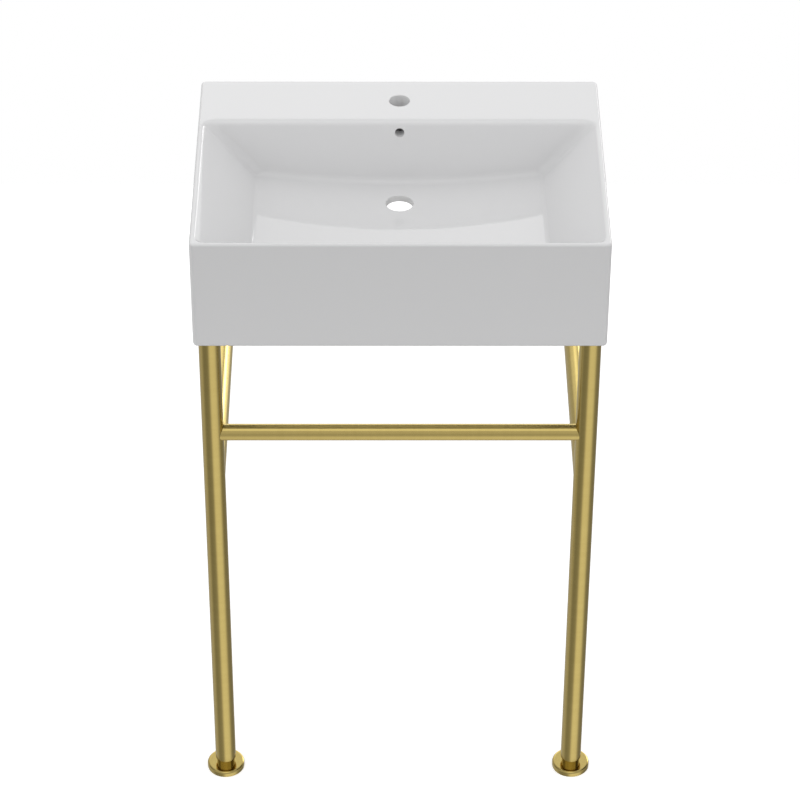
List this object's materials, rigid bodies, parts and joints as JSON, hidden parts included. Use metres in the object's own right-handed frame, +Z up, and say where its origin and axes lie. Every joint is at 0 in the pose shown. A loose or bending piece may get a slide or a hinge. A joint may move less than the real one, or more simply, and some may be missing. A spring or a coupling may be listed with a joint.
{
  "type": "console sink with legs",
  "caption": "Console basin in glazed ceramic for wall fixing, carried at the front by tubular legs with a towel bar, side rails and screw-adjusted feet.",
  "frame": {"origin": "on the floor, under the centre of the whole sink's width and depth", "axes": "+X to the right as seen from the front, +Y back towards the wall, +Z up; the feet stand on Z = 0"},
  "size_m": [0.542, 0.388, 0.918],
  "materials": {
    "glazed_ceramic": "white, fully glazed, high gloss",
    "brushed_gold": "satin brushed gold coating on stainless steel",
    "zinc_steel": "bright zinc plated steel",
    "dark_steel": "black oxide steel",
    "black_plastic": "moulded nylon, matte",
    "grey_rubber": "matte grey rubber"
  },
  "bodies": {
    "sink": {"basin": "glazed_ceramic", "towel_bar": "brushed_gold", "leg_tube_left": "brushed_gold", "leg_top_plug_left": "black_plastic", "basin_stud_left": "zinc_steel", "leg_washer_left": "grey_rubber", "foot_nut_left": "zinc_steel", "bar_spigot_left": "zinc_steel", "side_rail_left": "brushed_gold", "rail_spigot_left": "zinc_steel", "wall_flange_left": "brushed_gold", "leg_tube_right": "brushed_gold", "leg_top_plug_right": "black_plastic", "basin_stud_right": "zinc_steel", "leg_washer_right": "grey_rubber", "foot_nut_right": "zinc_steel", "bar_spigot_right": "zinc_steel", "side_rail_right": "brushed_gold", "rail_spigot_right": "zinc_steel", "wall_flange_right": "brushed_gold", "rivet_nuts": "zinc_steel", "bar_grub_screws": "dark_steel", "rail_grub_screws": "dark_steel"},
    "foot_base_left": {"foot_pad_left": "grey_rubber"},
    "foot_left": {"levelling_foot_left": "brushed_gold", "foot_stud_left": "zinc_steel"},
    "foot_base_right": {"foot_pad_right": "grey_rubber"},
    "foot_right": {"levelling_foot_right": "brushed_gold", "foot_stud_right": "zinc_steel"}
  },
  "joints": [
    {"name": "foot_lift_left", "type": "slide", "parent": "sink", "child": "foot_base_left", "axis": [0, 0, 1], "range_m": [-0.0121, 0.0091]},
    {"name": "foot_turn_left", "type": "hinge", "parent": "foot_base_left", "child": "foot_left", "pos_m": [-0.245, -0.168, 0.012], "axis": [0, 0, 1], "range_deg": [-2880, 2160]},
    {"name": "foot_lift_right", "type": "slide", "parent": "sink", "child": "foot_base_right", "axis": [0, 0, 1], "range_m": [-0.0121, 0.0091]},
    {"name": "foot_turn_right", "type": "hinge", "parent": "foot_base_right", "child": "foot_right", "pos_m": [0.245, -0.168, 0.012], "axis": [0, 0, 1], "range_deg": [-2880, 2160]}
  ],
  "couplings": [
    {"joint": "foot_lift_left", "follows": "foot_turn_left", "m_per_rad": 0.00023873},
    {"joint": "foot_lift_right", "follows": "foot_turn_right", "m_per_rad": 0.00023873}
  ]
}
